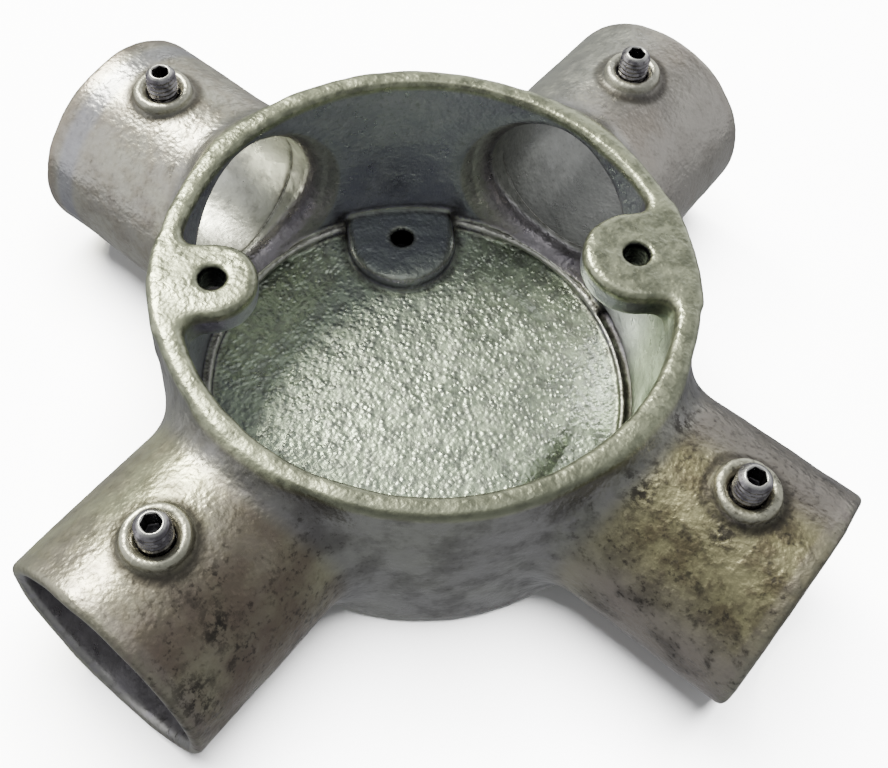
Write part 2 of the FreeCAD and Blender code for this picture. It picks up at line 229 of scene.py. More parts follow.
def add_lugs_and_pad(metal, x, y, z):
    r = np.hypot(x, y)
    for turn, radius in LUG_TURNS.items():
        lug = smooth_max(tongue(x, y, turn, LUG_REACH, radius), LUG_Z - z, LUG_ROUND)
        metal = smooth_min(metal, np.maximum(lug, r - LUG_END), LUG_BLEND)
    pad = smooth_max(tongue(x, y, PAD_TURN, PAD_REACH, PAD_R), z - PAD_Z, PAD_ROUND)
    pad = np.maximum(np.maximum(pad, r - PAD_END), -z)
    return smooth_min(metal, pad, PAD_BLEND)


def cut_holes(metal, x, y, z):
    """The countersunk screw holes, the lid-screw holes and the pad's hole."""
    for turn in SPOUT_TURNS:
        along, across = spun(x, y, turn)
        flare = np.maximum(z - (BOSS_Z - COUNTERSINK_DEPTH), 0) * COUNTERSINK / COUNTERSINK_DEPTH
        hole = np.hypot(along - BOSS_REACH, across) - SCREW_HOLE_R - flare
        metal = smooth_max(metal, -np.maximum(hole, AXIS_Z - z), SCREW_HOLE_ROUND)
    for turn in LUG_TURNS:
        along, across = spun(x, y, turn)
        flare = np.maximum(z - (RIM_Z - LID_HOLE_CHAMFER), 0)
        hole = np.hypot(along - LUG_REACH, across) - LID_HOLE_R - flare
        metal = smooth_max(metal, -np.maximum(hole, LID_HOLE_LOW - z), HOLE_ROUND)
    along, across = spun(x, y, PAD_TURN)
    hole = np.hypot(along - PAD_REACH, across) - PAD_HOLE_R
    return smooth_max(metal, -np.maximum(hole, PAD_HOLE_LOW - z), HOLE_ROUND)


def casting_field(x, y, z):
    """Signed distance to the casting, in millimetres: negative in the metal."""
    metal = smooth_max(solid_body(x, y, z), -hollow(x, y, z), HOLLOW_ROUND)
    metal = add_floor_line(metal, x, y, z)
    metal = add_lugs_and_pad(metal, x, y, z)
    metal = np.maximum(smooth_max(metal, z - RIM_Z, RIM_ROUND), -z)
    return cut_holes(metal, x, y, z)


def sample(field, low, high, step):
    """The field on a grid, worked out slab by slab to keep memory small."""
    axes = [np.arange(a, b + step, step, dtype=np.float32) for a, b in zip(low, high)]
    y, z = axes[1][None, :, None], axes[2][None, None, :]
    slabs = [field(slab[:, None, None], y, z).astype(np.float32)
             for slab in np.array_split(axes[0], 16)]
    return np.concatenate(slabs)


def crossing_points(values, cells):
    """Mean of the points where the field changes sign on each cell's edges."""
    corners = [(i, j, k) for i in (0, 1) for j in (0, 1) for k in (0, 1)]
    at_corner = {c: values[tuple((cells + c).T)] for c in corners}
    total = np.zeros(cells.shape)
    crossings = np.zeros(len(cells))
    for a in corners:
        for axis in range(3):
            if a[axis]:
                continue
            b = tuple(v + (n == axis) for n, v in enumerate(a))
            va, vb = at_corner[a], at_corner[b]
            cut = (va < 0) != (vb < 0)
            share = np.where(cut, va / np.where(cut, va - vb, 1), 0)
            point = np.array(a, float)[None].repeat(len(cells), 0)
            point[:, axis] += share
            total += point * cut[:, None]
            crossings += cut
    return cells + total / crossings[:, None]


def crossing_quads(inside, number, axis):
    """One outward-facing quad for each grid edge along the axis that leaves the metal."""
    u, v = (axis + 1) % 3, (axis + 2) % 3
    near = [slice(1, -1)] * 3
    near[axis] = slice(0, -1)
    far = [slice(1, -1)] * 3
    far[axis] = slice(1, None)
    start, end = inside[tuple(near)], inside[tuple(far)]
    quads = []
    for flip, hit in ((False, start & ~end), (True, ~start & end)):
        base = np.argwhere(hit)
        base[:, u] += 1
        base[:, v] += 1
        ring = []
        for du, dv in ((-1, -1), (0, -1), (0, 0), (-1, 0)):
            cell = base.copy()
            cell[:, u] += du
            cell[:, v] += dv
            ring.append(number[tuple(cell.T)])
        quad = np.stack(ring, 1)
        quads.append(quad[:, ::-1] if flip else quad)
    return quads


def surface(values, low, step):
    """Points and outward-facing quads of the field's zero surface, by surface nets."""
    inside = values < 0
    nx, ny, nz = (n - 1 for n in values.shape)
    count = sum(inside[i:nx + i, j:ny + j, k:nz + k].astype(np.int8)
                for i in (0, 1) for j in (0, 1) for k in (0, 1))
    cells = np.argwhere((count > 0) & (count < 8))
    points = crossing_points(values, cells) * step + np.array(low)
    number = np.full((nx, ny, nz), -1, np.int64)
    number[tuple(cells.T)] = np.arange(len(cells))
    quads = [quad for axis in range(3) for quad in crossing_quads(inside, number, axis)]
    return points, np.concatenate(quads)


# ---------------------------------------------------------------- cast surface
def lattice_noise(points, cell, seed):
    """Smooth random values from -1 to 1 that change over about one cell."""
    rng = np.random.default_rng(seed)
    table = rng.uniform(-1, 1, (LATTICE, LATTICE, LATTICE))
    spot = points / cell + LATTICE_OFFSET
    base = np.floor(spot).astype(np.int64)
    part = spot - base
    part = part * part * (3 - 2 * part)
    value = np.zeros(len(points))
    for i in (0, 1):
        for j in (0, 1):
            for k in (0, 1):
                weight = (np.where(i, part[:, 0], 1 - part[:, 0])
                          * np.where(j, part[:, 1], 1 - part[:, 1])
                          * np.where(k, part[:, 2], 1 - part[:, 2]))
                value += weight * table[tuple(((base + (i, j, k)) % LATTICE).T)]
    return value


def unevenness(points, layers):
    return sum(height * lattice_noise(points, width, seed) for height, width, seed in layers)


def step_up(value, start, end):
    """0 below start, 1 above end, smooth between them."""
    share = np.clip((value - start) / (end - start), 0, 1)
    return share * share * (3 - 2 * share)


def step_down(value, start, end):
    """1 below start, 0 above end, smooth between them."""
    return step_up(-value, -end, -start)


def field_normals(points):
    """Outward unit normals of the casting's field, by central differences."""
    slopes = []
    for axis in range(3):
        ahead, behind = points.copy(), points.copy()
        ahead[:, axis] += SLOPE_STEP
        behind[:, axis] -= SLOPE_STEP
        slopes.append(casting_field(*ahead.T) - casting_field(*behind.T))
    normals = np.stack(slopes, 1)
    return normals / np.maximum(np.linalg.norm(normals, axis=1), 1e-6)[:, None]


def from_spout_axis(points, start):
    """Distance from the nearest spout's axis, for points beyond start from the middle."""
    x, y, z = points.T
    return np.minimum(np.hypot(y, z - AXIS_Z) + FAR * (np.abs(x) < start),
                      np.hypot(x, z - AXIS_Z) + FAR * (np.abs(y) < start))


def from_screw_axis(points):
    """Distance from the nearest grub screw's axis."""
    nearest = np.full(len(points), FAR)
    for turn in SPOUT_TURNS:
        along, across = spun(points[:, 0], points[:, 1], turn)
        nearest = np.minimum(nearest, np.hypot(along - BOSS_REACH, across))
    return nearest


def cast_roughness(points, normals):
    """How far each point stands proud of the smooth shape, in millimetres.

    The sockets are nearly smooth, and the base and the screw holes wholly."""
    x, y, z = points.T
    r = np.hypot(x, y)
    bored = step_down(from_spout_axis(points, STOP), 12.9, 13.4)
    base = step_down(z, 0.1, 0.6)
    outside_holes = step_up(from_screw_axis(points), 2.6, 3.4)
    floor = step_up(normals[:, 2], 0.6, 0.9) * step_down(z, 6.0, 7.0) * step_down(r, 28.5, 29.5)
    rim = step_up(z, RIM_Z - 2.5, RIM_Z - 1.0) * step_down(r, 33.0, 33.5)
    lumps = unevenness(points, LUMPS)
    peel = unevenness(points, PEEL)
    grain = unevenness(points, GRAIN)
    ripple = rim * unevenness(points, RIPPLE)
    graininess = GRAIN_SHARE + FLOOR_GRAIN * floor + RIM_GRAIN * rim
    height = lumps * (1 - FLOOR_CALM * floor) + peel + ripple + grain * graininess
    return height * (1 - SOCKET_CALM * bored) * (1 - base) * outside_holes


def new_mesh(name, points, faces):
    """A smooth-shaded mesh object from points in millimetres."""
    mesh = bpy.data.meshes.new(name)
    faces = np.asarray(faces)
    sides = faces.shape[1]
    mesh.vertices.add(len(points))
    mesh.vertices.foreach_set("co", (points * MM).astype(np.float32).ravel())
    mesh.loops.add(faces.size)
    mesh.loops.foreach_set("vertex_index", faces.astype(np.int32).ravel())
    mesh.polygons.add(len(faces))
    mesh.polygons.foreach_set("loop_start", np.arange(0, faces.size, sides, dtype=np.int32))
    mesh.update(calc_edges=True)
    mesh.polygons.foreach_set("use_smooth", np.full(len(faces), True))
    mesh.validate()
    piece = bpy.data.objects.new(name, mesh)
    bpy.context.scene.collection.objects.link(piece)
    return piece


def add_zones(piece, zones):
    """Store one mask per point under each name, for the finish to read."""
    for name, values in zones.items():
        layer = piece.data.attributes.new(name, "FLOAT", "POINT")
        layer.data.foreach_set("value", values.astype(np.float32))


def make_casting():
    margin = 2 * GRID
    low = (-MOUTH - margin, -MOUTH - margin, -margin)
    high = (MOUTH + margin, MOUTH + margin, RIM_Z + margin)
    points, quads = surface(sample(casting_field, low, high, GRID), low, GRID)
    normals = field_normals(points)
    points += normals * (cast_roughness(points, normals) - casting_field(*points.T))[:, None]
    points[:, 2] = np.maximum(points[:, 2], 0)
    casting = new_mesh("cast_box", points, quads)
    add_zones(casting, casting_zones(points, normals))
    return casting


def openness(points, normals, reach):
    """How steeply the field changes along a step of that reach from the surface.

    A step outwards gives 1 on a flat or a ridge and less in a crease. A step inwards
    gives -1 on a flat and comes nearer 0 on a ridge."""
    return casting_field(*(points + reach * normals).T) / reach


def from_holes(points):
    """Distance from the wall of the nearest lid or pad hole, less than 0 inside it."""
    x, y, z = points.T
    nearest = np.full(len(points), FAR)
    for turn, reach, radius, low in SHADED_HOLES:
        along, across = spun(x, y, turn)
        hole = np.hypot(along - reach, across) - radius
        nearest = np.minimum(nearest, np.maximum(hole, low - z))
    return nearest


def facing(along, across, start, end):
    """1 on the side that faces along, coming in from start to end out from the middle."""
    return step_up(along - SIDE_SPREAD * np.abs(across), start, end)


def place_zones(points, normals):
    """Masks for the places on the casting: its rim, floor, walls, sockets and bosses, and where
    highlights and shade are painted.

    Each fades between two distances in millimetres, or between two shares of a slope."""
    x, y, z = points.T
    r = np.hypot(x, y)
    reach = np.maximum(np.abs(x), np.abs(y))
    from_screw = from_screw_axis(points)
    within = step_down(r, LIP - 0.2, LIP + 0.6)
    bored = step_down(from_spout_axis(points, SOCKET_START), 12.8, 13.6) * (1 - within)
    rim = step_up(z, RIM_Z - 1.6, RIM_Z - 0.5) * step_down(r, 32.6, 33.3)
    outer = step_up(r, 31.0, 32.0) * (1 - bored)
    facing_up = step_up(normals[:, 2], 0.5, 0.9)
    floor = within * facing_up * step_down(z, 6.0, 8.0) * step_down(r, 28.6, 29.4)
    near_port = step_down(from_spout_axis(points, PORT_START), PORT_R + 2.2, PORT_R + 2.6)
    bell = near_port * step_down(r, 35.0, 36.0) * (1 - bored) * step_down(z, 26.0, 27.0)
    inside = np.maximum(within * (1 - outer), bell) * (1 - rim) * (1 - floor)
    hole_walls = step_down(from_holes(points), 0.0, 0.35)
    screw_hole_walls = step_down(from_screw, 2.1, 2.25) * (1 - bored)
    return {
        "rim": rim,
        "floor": floor,
        "inside": inside * step_up(z, 1.0, 2.0),
        "bell": bell,
        # bead: the floor's raised line, which the finish paints lighter as a highlight
        "bead": step_down(np.abs(r - BEAD_R), 0.25, 0.6) * step_up(z, 3.6, 4.0)
                * step_down(z, 4.8, 5.2) * (1 - bored),
        "bored": bored,
        # dark: the walls of the lid, pad and screw holes, painted black as shade
        "hole_shade": np.maximum(hole_walls, screw_hole_walls),
        "crease": step_up(1 - openness(points, normals, CREASE_REACH), 0.10, 0.55)
                  * (1 - 0.85 * bell),
        "ridge": step_up(1 + openness(points, -normals, RIDGE_REACH), 0.10, 0.6),
        # shoulder: the rounded rim of each boss, which the finish paints lighter as a highlight
        "shoulder_highlight": step_down(np.abs(from_screw - 3.3), 0.4, 1.1) * step_up(z, 28.9, 29.4),
        # foot: a ring around the foot of each boss, painted dark as shade with some grime
        "foot_shade_and_grime": step_down(np.abs(from_screw - 4.5), 0.3, 1.0) * step_up(z, 27.0, 27.8),
        "brim": step_up(reach, MOUTH - 2.4, MOUTH - 1.6) * (1 - bored),
        "skirt": step_down(r, 34.0, 36.5) * outer * (1 - rim),
        # pad: the floor's pad, which the finish paints dark and bluish as shade and gives a calmer
        # skin
        "pad": step_down(tongue(x, y, PAD_TURN, PAD_REACH, PAD_R), 0.2, 0.9) * floor,
    }


def stain_zones(points, normals, place):
    """Masks for how the zinc has weathered on each side, and for painted shade on the rim's
    right-front part, given the masks of place.
    """
    x, y, z = points.T
    reach = np.maximum(np.abs(x), np.abs(y))
    rim, bored = place["rim"], place["bored"]
    rusty = facing(x, y, 20.0, 36.0)
    front = facing(-y, x, 20.0, 34.0)
    back = facing(y, x, 22.0, 34.0)
    lilac = facing(-x, y, 22.0, 34.0)
    scab = np.max([step_down(np.hypot(x - at_x, y - at_y) / radius, 0.0, 1.0)
                   for at_x, at_y, radius in SCABS], axis=0)
    return {
        "sandy": place["floor"] * (1 - 0.7 * step_up(x, 20, 26)),
        "rusty": rusty,
        "olive": rusty * step_up(normals[:, 2], 0.25, 0.75) * step_down(y, -1.0, 6.0),
        "bare": rusty * step_up(y, 0.0, 5.0),
        "icy": back,
        "pinkish": back * step_up(x, -7.0, 5.0),
        "lilac": lilac,
        "blue_band": lilac * step_down(np.abs(reach - MOUTH + 4.0), 0.8, 2.2),
        "pink_edge": lilac * step_up(reach, MOUTH - 1.8, MOUTH - 0.9) * (1 - bored),
        "sunny": step_up(x, 17.0, 24.0),
        "scab": scab * step_up(z, AXIS_Z, AXIS_Z + 2.0) * (1 - rim) * (1 - bored),
        "front": front,
        # near: the rim's right-front part, painted darker as shade
        "near": step_up(x - y, 34.0, 44.0) * rim,
        "umber": front * step_up(x, -1.0, 9.0),
    }


def casting_zones(points, normals):
    """Masks from 0 to 1 that the finish reads: where each kind of surface lies."""
    place = place_zones(points, normals)
    return {**place, **stain_zones(points, normals, place)}


# ---------------------------------------------------------------- grub screws
def screw_field(x, y, z, length, major):
    """Signed distance to a threaded grub screw that stands on its cup point at z = 0."""
    r = np.hypot(x, y)
    turn = np.arctan2(y, x) / (2 * math.pi)
    phase = (z / THREAD_PITCH - turn) % 1.0
    crest = np.abs(2 * phase - 1)
    thread = THREAD_DEPTH * np.clip(THREAD_SHARP * (1 - crest) - THREAD_FLAT, 0, 1)
    shank = THREAD_SCALE * (r - major + thread)
    top = TAPER_SCALE * (r - TOP_R - (length - z) * TOP_SLOPE)
    point = TAPER_SCALE * (r - POINT_R - z * POINT_SLOPE)
    shank = smooth_max(smooth_max(shank, top, TAPER_ROUND), point, TAPER_ROUND)
    metal = smooth_max(shank, np.maximum(z - length, -z), END_ROUND)
    hexagon = np.maximum.reduce([np.abs(x * math.cos(a) + y * math.sin(a)) - KEY_FLATS / 2
                                 for a in KEY_FACES])
    key = smooth_max(hexagon, length - KEY_DEPTH - z, KEY_ROUND)
    mouth = MOUTH_SCALE * (r - KEY_FLATS / 2 - KEY_CHAMFER + (length - z) * KEY_SLOPE)
    metal = smooth_max(metal, -np.minimum(key, mouth), RECESS_ROUND)
    return smooth_max(metal, -CUP_SCALE * (r - CUP_R + CUP_SLOPE * z), CUP_ROUND)


def make_screws(material):
    """The screw's shape, worked out once, then turned and stood in each boss."""
    node_low, node_high = (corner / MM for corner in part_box("grub_screw_right"))
    length = node_high.z - node_low.z
    major = (node_high.y - node_low.y) / 2
    margin = 3 * SCREW_GRID
    reach = major + margin

    def field(x, y, z):
        return screw_field(x, y, z, length, major)

    low, high = (-reach, -reach, -margin), (reach, reach, length + margin)
    points, quads = surface(sample(field, low, high, SCREW_GRID), low, SCREW_GRID)
    from_axis = np.hypot(points[:, 0], points[:, 1])
    # The hex key recess, which the finish paints dark as shade
    recess_shade = step_down(from_axis, 1.1, 1.3) * step_up(length - points[:, 2], 0.1, 0.7)
    crown_highlight = step_up(points[:, 2], length - 0.45, length - 0.15) * (1 - recess_shade)
    for (side, key_turn), turn in zip(KEY_TURNS.items(), SPOUT_TURNS):
        node = f"grub_screw_{side}"
        along, across = spun(points[:, 0], points[:, 1], -key_turn)
        boss_x, boss_y = spun(BOSS_REACH, 0.0, -turn)
        placed = np.stack([along + boss_x, across + boss_y, points[:, 2] + node_low.z], 1)
        screw = new_mesh(f"threaded_{node}", placed, quads)
        add_zones(screw, {"recess_shade": recess_shade, "crown_highlight": crown_highlight})
        wear(screw, material)
        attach(screw, f"screw_{side}")
        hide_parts(node)


# ---------------------------------------------------------------- finishes
# Colours of the metal, its stains and its dirt, and of its painted highlights and painted shade
ZINC_LIGHT, ZINC_WARM, ZINC_STAIN = (0.58, 0.59, 0.39), (0.42, 0.39, 0.31), (0.21, 0.18, 0.15)
ZINC_OLIVE = (0.33, 0.31, 0.20)
OLIVE, OLIVE_DARK, UMBER = (0.37, 0.35, 0.185), (0.14, 0.12, 0.065), (0.165, 0.12, 0.10)
MAUVE, MAUVE_DARK = (0.36, 0.31, 0.285), (0.18, 0.155, 0.145)
PINK, PINK_DARK, PINK_RUST = (0.46, 0.425, 0.39), (0.35, 0.315, 0.285), (0.42, 0.33, 0.25)
LILAC, LILAC_DARK, LILAC_BROWN = (0.54, 0.52, 0.48), (0.34, 0.31, 0.29), (0.36, 0.31, 0.26)
WALL_BLUE, WALL_GREY = (0.39, 0.38, 0.48), (0.48, 0.47, 0.56)
WALL_GREEN, WALL_GREEN_DARK = (0.19, 0.212, 0.18), (0.12, 0.135, 0.115)
WALL_BROWN, BAND_BLUE = (0.40, 0.37, 0.36), (0.40, 0.42, 0.52)
SOCKET_LIGHT, SOCKET_DARK = (0.62, 0.63, 0.57), (0.40, 0.40, 0.37)
SOCKET_LILAC, SOCKET_DIM = (0.36, 0.34, 0.37), (0.30, 0.305, 0.295)
SKIRT, SKIRT_DARK = (0.34, 0.34, 0.355), (0.20, 0.20, 0.21)
# The pad's dark blue is painted shade
PAD_PAINTED_SHADE, ICE = (0.20, 0.215, 0.225), (0.46, 0.475, 0.45)
FLOOR_LIGHT, FLOOR_DARK = (0.50, 0.595, 0.445), (0.36, 0.405, 0.335)
RIM_LIGHT, RIM_DARK = (0.43, 0.455, 0.32), (0.24, 0.255, 0.185)
# The bosses' rim colour is a painted highlight
BOSS_PAINTED_HIGHLIGHT, RUSTY_GREY = (0.62, 0.615, 0.50), (0.17, 0.155, 0.14)
# The floor line's light colour is a painted highlight
BEAD_PAINTED_HIGHLIGHT = (0.66, 0.66, 0.60)
# The grime colour is real dirt in pits, spots and scabs and painted shade at the bosses' feet and
# in the creases; the black is painted shade in the holes and the screws' key recesses
GRIME_AND_SHADE, PAINTED_SHADE_BLACK = (0.05, 0.045, 0.04), (0.012, 0.012, 0.014)
STEEL_LIGHT, STEEL_DARK = (0.36, 0.345, 0.36), (0.15, 0.14, 0.155)
# Painted highlight on the screws' tops
STEEL_PAINTED_HIGHLIGHT = (0.80, 0.80, 0.76)
PAPER, PAPER_LIGHT = (0.90, 0.90, 0.90), (0.92, 0.92, 0.92)

# The masks that the casting's finish reads
CAST_ZONES = ("rim", "floor", "inside", "bell", "bead", "bored", "hole_shade", "crease", "ridge",
              "shoulder_highlight", "foot_shade_and_grime", "brim", "skirt", "pad", "sandy", "rusty", "olive", "bare",
              "icy", "pinkish", "lilac", "blue_band", "pink_edge", "sunny", "scab", "front",
              "near", "umber")
# Its noises: size in millimetres, detail and roughness
CAST_NOISES = {"clouds": (16.0, 3, 0.55), "drifts": (7.0, 5, 0.6), "blotches": (5.0, 6, 0.62),
               "grit": (2.6, 5, 0.6), "sheen": (2.2, 4, 0.6), "mottle": (1.7, 4, 0.6),
               "crumbs": (1.3, 5, 0.7), "specks": (0.8, 3, 0.6), "peel": (2.6, 2, 0.5),
               "dimples": (0.85, 1, 0.5), "pores": (0.45, 1, 0.5)}
# Patches of a noise: its name, and the two values between which the patch appears
PATCHES = {"stain": ("blotches", 0.45, 0.68), "pit_groups": ("blotches", 0.36, 0.62),
           "rust": ("clouds", 0.52, 0.66), "mottled": ("mottle", 0.42, 0.66),
           "browned": ("mottle", 0.40, 0.66), "rubbed": ("mottle", 0.35, 0.55),
           "pitted": ("specks", 0.52, 0.68), "spotted": ("grit", 0.57, 0.70),
           "scabby": ("crumbs", 0.44, 0.58)}
# Patterns of two colours: the noise, the two values between which it turns from the
# first colour to the second, and the colours
PATTERNS = {"zinc": ("clouds", 0.38, 0.62, ZINC_LIGHT, ZINC_WARM),
            "mauve": ("blotches", 0.40, 0.65, MAUVE, MAUVE_DARK),
            "olive": ("veins", 0.42, 0.60, OLIVE, OLIVE_DARK),
            "lilac": ("blotches", 0.45, 0.68, LILAC, LILAC_DARK),
            "skirt": ("blotches", 0.40, 0.64, SKIRT, SKIRT_DARK),
            "walls": ("blotches", 0.36, 0.66, WALL_BLUE, WALL_GREY),
            "green": ("mottle", 0.38, 0.62, WALL_GREEN, WALL_GREEN_DARK),
            "socket": ("blotches", 0.40, 0.65, SOCKET_LIGHT, SOCKET_DARK),
            "floor": ("mottle", 0.40, 0.62, FLOOR_LIGHT, FLOOR_DARK),
            "rim": ("mottle", 0.40, 0.62, RIM_LIGHT, RIM_DARK)}
# Stains within a pattern, and painted shade on the rim: each one's mask, strength, and colour or
# pattern
STAINS = {"zinc": (("mottled", 0.45, ZINC_OLIVE), ("stain", 0.45, ZINC_STAIN)),
          "pink": (("stain", 0.5, PINK_DARK), ("rust", 0.35, PINK_RUST)),
          "lilac": (("browned", 0.5, LILAC_BROWN),),
          "walls": (("bell", 0.7, WALL_BROWN), ("sunny", 1.0, "green")),
          "socket": (("front", 0.85, SOCKET_LILAC), ("icy", 0.9, SOCKET_DIM)),
          # The rim's right-front part is painted darker as shade
          "rim": (("near", 0.7, RIM_DARK),)}
# What lies over the zinc in the same form, painted highlights and painted shade among it, from the
# lowest layer to the highest
LAYERS = (("rusty", 0.85, "mauve"), ("olive", 0.85, "olive"), ("bare", 0.85, RUSTY_GREY),
          ("icy", 0.75, ICE), ("pinkish", 0.8, "pink"), ("lilac", 0.7, "lilac"),
          ("blue_band", 0.5, BAND_BLUE), ("pink_edge", 0.6, PINK_RUST),
          ("drifted", 0.85, UMBER), ("brim", 0.4, PINK_DARK), ("skirt", 0.75, "skirt"),
          ("inside", 1.0, "walls"), ("bored", 1.0, "socket"), ("floor", 1.0, "floor"),
          ("pad", 0.8, PAD_PAINTED_SHADE), ("rim", 1.0, "rim"), ("worn", 0.4, RIM_LIGHT),
          ("shoulder_highlight", 0.7, BOSS_PAINTED_HIGHLIGHT), ("bead", 0.9, BEAD_PAINTED_HIGHLIGHT), ("pits", 1.0, GRIME_AND_SHADE),
          ("spots", 0.7, GRIME_AND_SHADE), ("scabs", 0.95, GRIME_AND_SHADE), ("foot_shade_and_grime", 0.7, GRIME_AND_SHADE),
          ("crease_shade_and_grime", 1.0, GRIME_AND_SHADE), ("hole_shade", 1.0, PAINTED_SHADE_BLACK))
# How deep each part of the cast skin is, in millimetres, from the lowest to the highest
SKIN = (("waves", 0.09), ("grains", 0.085), ("dimples", 0.07), ("pores", 0.045))


class Finish:
    """A node material, with short names for the nodes it is made of."""

    def __init__(self, name):
        self.material = bpy.data.materials.new(name)
        self.material.use_nodes = True
        self.tree = self.material.node_tree
        self.shader = self.tree.nodes["Principled BSDF"]
        place = self.node("ShaderNodeTexCoord")
        scale = self.node("ShaderNodeVectorMath", operation="SCALE")
        self.tree.links.new(place.outputs["Object"], scale.inputs[0])
        scale.inputs["Scale"].default_value = 1 / MM
        self.millimetres = scale.outputs["Vector"]

    def node(self, kind, **settings):
        node = self.tree.nodes.new(kind)
        for key, value in settings.items():
            setattr(node, key, value)
        return node

    def feed(self, socket, value):
        if isinstance(value, bpy.types.NodeSocket):
            self.tree.links.new(value, socket)
        elif value is not None:
            socket.default_value = value

    def noise(self, size, detail=3.0, roughness=0.55):
        """Noise whose largest features are about size millimetres across."""
        node = self.node("ShaderNodeTexNoise")
        self.feed(node.inputs["Vector"], self.millimetres)
        node.inputs["Scale"].default_value = 1 / size
        node.inputs["Detail"].default_value = detail
        node.inputs["Roughness"].default_value = roughness
        return node.outputs["Fac"]

    def cells(self, size):
        """How far each place is from the nearest of many scattered points."""
        node = self.node("ShaderNodeTexVoronoi", feature="F1")
        self.feed(node.inputs["Vector"], self.millimetres)
        node.inputs["Scale"].default_value = 1 / size
        return node.outputs["Distance"]

    def span(self, value, low, high, out_low=0.0, out_high=1.0):
        """The value carried smoothly from low..high to out_low..out_high."""
        node = self.node("ShaderNodeMapRange", interpolation_type="SMOOTHSTEP")
        for socket, given in zip(node.inputs, (value, low, high, out_low, out_high)):
            self.feed(socket, given)
        return node.outputs["Result"]

    def combine(self, operation, a, b):
        node = self.node("ShaderNodeMath", operation=operation)
        self.feed(node.inputs[0], a)
        self.feed(node.inputs[1], b)
        return node.outputs["Value"]

    def times(self, a, b):
        return self.combine("MULTIPLY", a, b)

    def plus(self, a, b):
        return self.combine("ADD", a, b)

    def most(self, a, b):
        return self.combine("MAXIMUM", a, b)

    def mix(self, share, a, b):
        node = self.node("ShaderNodeMix", data_type="RGBA")
        self.feed(node.inputs["Factor"], share)
        colours = [s for s in node.inputs if s.type == "RGBA"]
        for socket, given in zip(colours, (a, b)):
            self.feed(socket, (*given, 1) if isinstance(given, tuple) else given)
        return next(s for s in node.outputs if s.type == "RGBA")

    def tint(self, under, share, strength, over):
        """The colour under, covered by the colour over as far as share times strength."""
        return self.mix(self.times(share, strength), under, over)

    def zone(self, name):
        node = self.node("ShaderNodeAttribute", attribute_name=name)
        return node.outputs["Fac"]

    def bump(self, height, distance, strength=1.0, under=None):
        node = self.node("ShaderNodeBump")
        self.feed(node.inputs["Height"], height)
        node.inputs["Distance"].default_value = distance * MM
        node.inputs["Strength"].default_value = strength
        self.feed(node.inputs["Normal"], under)
        return node.outputs["Normal"]


def cast_masks(finish):
    """The casting's zones, its noises, and what is made of them, by name."""
    mask = {name: finish.zone(name) for name in CAST_ZONES}
    for name, (size, detail, roughness) in CAST_NOISES.items():
        mask[name] = finish.noise(size, detail, roughness)
    for name, (noise, low, high) in PATCHES.items():
        mask[name] = finish.span(mask[noise], low, high)
    mask["outer"] = finish.combine("SUBTRACT", 1.0, finish.most(mask["floor"], mask["rim"]))
    mask["veins"] = finish.times(finish.plus(mask["blotches"], mask["mottle"]), 0.5)
    drifts = finish.span(mask["drifts"], 0.30, 0.62, 0.5, 1.0)
    mask["drifted"] = finish.times(drifts, mask["umber"])
    mask["worn"] = finish.times(mask["ridge"], mask["rubbed"])
    return mask


def add_dirt_and_shade_masks(finish, mask):
    """Pits, spots and scabs of rust, and painted shade with some grime in the creases."""
    stained = finish.most(mask["rusty"], mask["umber"])
    pits = finish.times(finish.times(mask["pitted"], mask["pit_groups"]), mask["outer"])
    mask["pits"] = finish.times(pits, finish.span(stained, 0.0, 1.0, 0.25, 0.8))
    mask["spots"] = finish.times(mask["spotted"], stained)
    mask["scabs"] = finish.times(mask["scabby"], mask["scab"])
    # Creases darkened with the dirt colour: painted shade, with some grime
    crease_shade_and_grime = finish.times(mask["crease"], finish.span(mask["mottle"], 0.3, 0.6, 0.45, 0.85))
    off_shoulders = finish.span(mask["shoulder_highlight"], 0.0, 1.0, 1.0, 0.2)
    mask["crease_shade_and_grime"] = finish.times(crease_shade_and_grime, off_shoulders)


def lay(finish, under, layers, mask, colours):
    """The colour under, with each layer over it where its mask is, to its strength."""
    for name, strength, over in layers:
        under = finish.tint(under, mask[name], strength, colours.get(over, over))
    return under


def cast_colour(finish, mask):
    """Zinc with every pattern, stain, painted highlight and painted shade laid over it in its
    place.
    """
    colours = {"pink": PINK}
    for name, (noise, low, high, first, second) in PATTERNS.items():
        colours[name] = finish.mix(finish.span(mask[noise], low, high), first, second)
    for name, layers in STAINS.items():
        colours[name] = lay(finish, colours[name], layers, mask, colours)
    return lay(finish, colours["zinc"], LAYERS, mask, colours)


def dullness(finish, mask):
    """How rough the finish is: more so where it is stained, olive or creased."""
    rough = finish.span(mask["sheen"], 0.3, 0.7, 0.26, 0.38)
    for name, more in (("stain", 0.10), ("olive", 0.08), ("crease", 0.2)):
        rough = finish.plus(rough, finish.times(mask[name], more))
    return rough


def cast_skin(finish, mask):
    """Orange peel, sand grains, dimples and pores, weaker in the bored sockets."""
    level = finish.times(mask["sandy"], finish.span(mask["pad"], 0.0, 1.0, 1.0, 0.3))
    sandy = finish.most(level, finish.times(mask["rim"], 0.27))
    sandy = finish.most(sandy, finish.times(mask["outer"], 0.3))
    grains = finish.times(finish.span(finish.cells(0.8), 0.66, 0.05), sandy)
    mask["grains"] = finish.times(grains, finish.span(mask["mottle"], 0.3, 0.6, 0.5, 1.0))
    scales = finish.times(finish.times(mask["mottle"], mask["rusty"]), 1.6)
    mask["waves"] = finish.plus(mask["peel"], scales)
    unbored = finish.combine("SUBTRACT", 1.0, finish.times(mask["bored"], 0.7))
    normal = None
    for name, depth in SKIN:
        normal = finish.bump(finish.times(mask[name], unbored), depth, 1.0, normal)
    return normal


